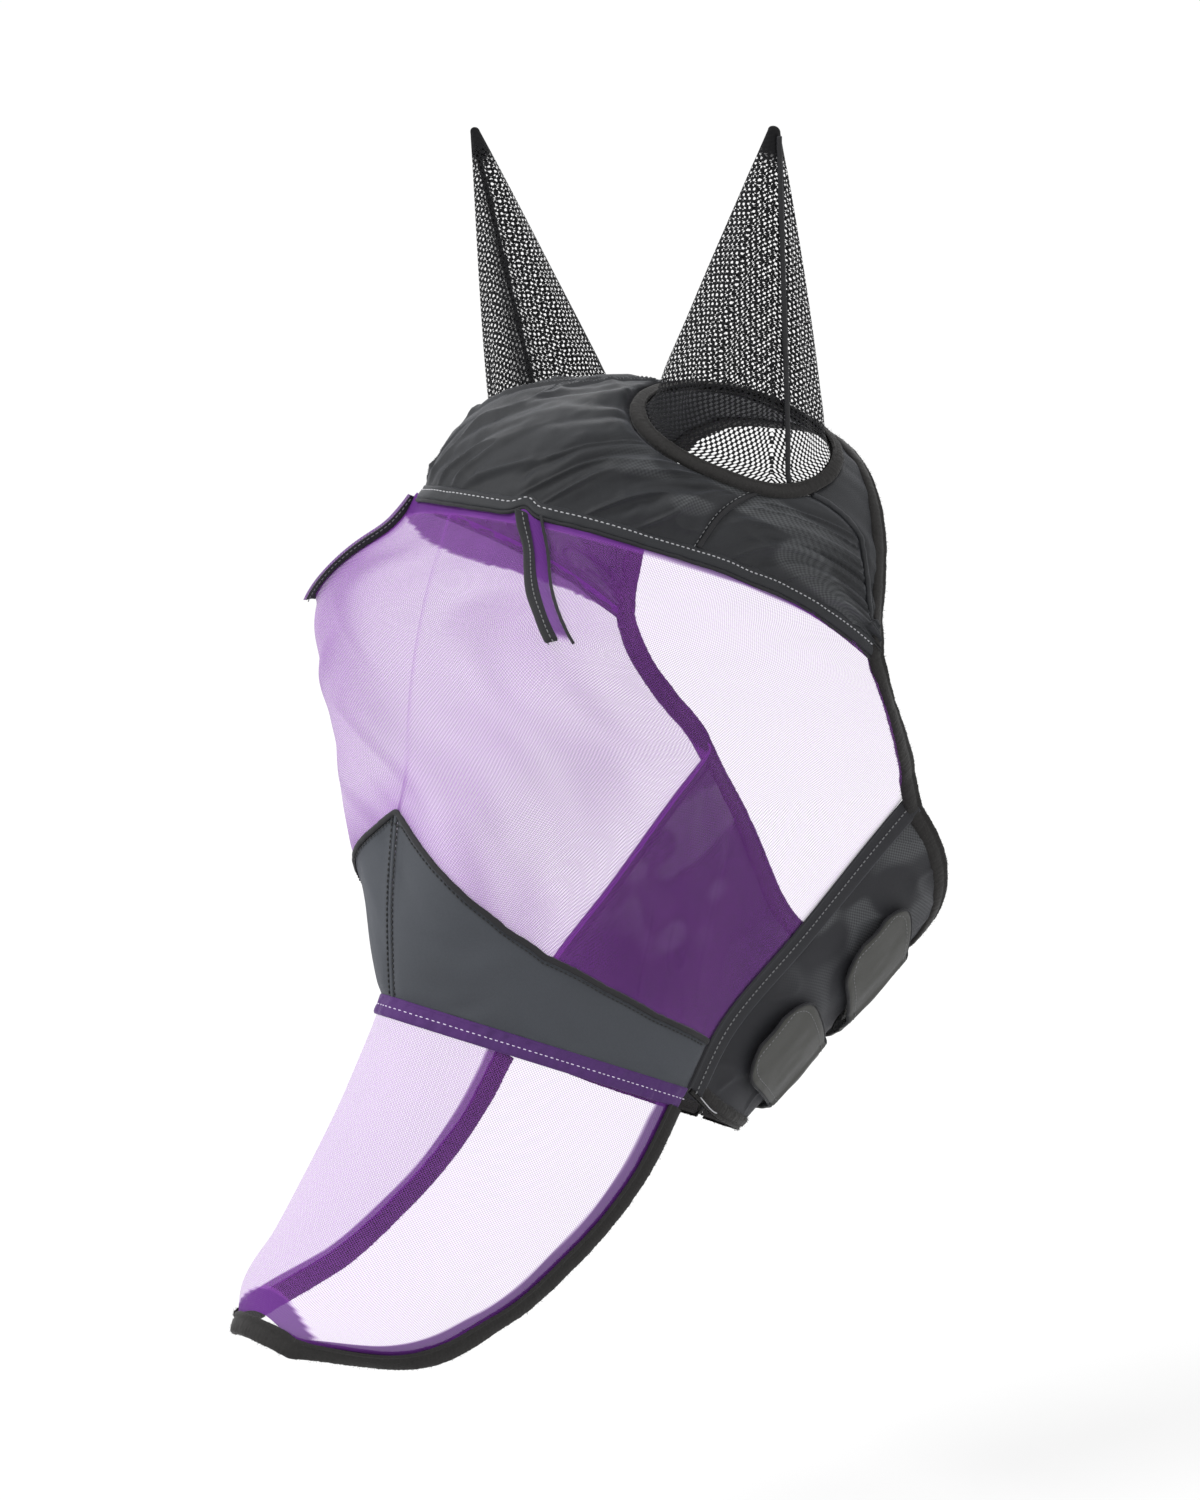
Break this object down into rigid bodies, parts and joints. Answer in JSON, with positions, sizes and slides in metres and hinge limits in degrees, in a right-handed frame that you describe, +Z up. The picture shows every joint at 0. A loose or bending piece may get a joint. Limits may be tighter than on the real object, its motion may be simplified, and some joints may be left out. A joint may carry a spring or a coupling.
{
  "type": "horse fly mask with ears and nose cover",
  "caption": "Horse fly mask in its worn shape: mesh face with forehead darts, mesh ear covers, mesh nose cover, fabric crown, noseband and jaw band closed by touch-close tabs.",
  "frame": {"origin": "the point on the inner face of the crown that rests on the horse's poll, on the mask's middle line between the ears", "axes": "+Z up, towards the ear tips; the face looks along -Y; +X is the horse's left side, where the jaw tabs close"},
  "size_m": [0.2652, 0.4644, 0.6796],
  "materials": {
    "purple_mesh": "fine open polyester mesh",
    "purple_hem": "folded mesh hem",
    "black_ear_mesh": "coarse open knitted mesh",
    "fleece_binding": "brushed fleece",
    "noseband_cloth": "woven twill",
    "crown_cloth": "brushed woven polycotton",
    "tab_tape": "smooth tape backing",
    "hook_tape": "moulded hooks",
    "loop_tape": "looped pile",
    "black_tape": "folded woven tape"
  },
  "bodies": {
    "mask": {"brow_binding": "black_tape", "crown_front_panel": "crown_cloth", "crown_poll_panel": "crown_cloth", "crown_side_panel_left": "crown_cloth", "crown_side_panel_right": "crown_cloth", "ear_opening_binding_left": "fleece_binding", "ear_opening_binding_right": "fleece_binding", "face_mesh": "purple_mesh", "forehead_dart_left": "black_tape", "forehead_dart_right": "black_tape", "jaw_band_hem_left": "crown_cloth", "jaw_band_hem_right": "crown_cloth", "jaw_band_left": "crown_cloth", "jaw_band_right": "crown_cloth", "jaw_front_binding_left": "fleece_binding", "jaw_front_binding_right": "fleece_binding", "nose_edge_binding": "fleece_binding", "nose_hem": "purple_hem", "nose_mesh": "purple_mesh", "noseband_left": "noseband_cloth", "noseband_right": "noseband_cloth", "noseband_top_binding": "black_tape", "rear_binding": "fleece_binding", "tab_front_loop_patch": "loop_tape", "tab_front_strap": "tab_tape", "tab_rear_loop_patch": "loop_tape", "tab_rear_strap": "tab_tape"},
    "ear_left": {"ear_cone_left": "black_ear_mesh", "ear_seam_piping_left": "black_tape"},
    "ear_right": {"ear_cone_right": "black_ear_mesh", "ear_seam_piping_right": "black_tape"},
    "tab_front": {"tab_front_flap": "tab_tape", "tab_front_hook_patch": "hook_tape"},
    "tab_rear": {"tab_rear_flap": "tab_tape", "tab_rear_hook_patch": "hook_tape"}
  },
  "joints": [
    {"name": "ear_left_tip", "type": "hinge", "parent": "mask", "child": "ear_left", "pos_m": [0.0725, 0.0225, -0.027], "axis": [1, 0, 0], "range_deg": [-12, 8], "stiffness_Nm_per_rad": 0.3},
    {"name": "ear_right_tip", "type": "hinge", "parent": "mask", "child": "ear_right", "pos_m": [-0.086, 0.0125, -0.0403], "axis": [1, 0, 0], "range_deg": [-12, 8], "stiffness_Nm_per_rad": 0.3},
    {"name": "tab_front_peel", "type": "hinge", "parent": "mask", "child": "tab_front", "pos_m": [0.0578, 0.0784, -0.4208], "axis": [0.0735, 0.8046, 0.5892], "range_deg": [0, 140]},
    {"name": "tab_rear_peel", "type": "hinge", "parent": "mask", "child": "tab_rear", "pos_m": [0.0623, 0.1341, -0.3805], "axis": [0.0913, 0.7984, 0.5952], "range_deg": [0, 140]}
  ]
}
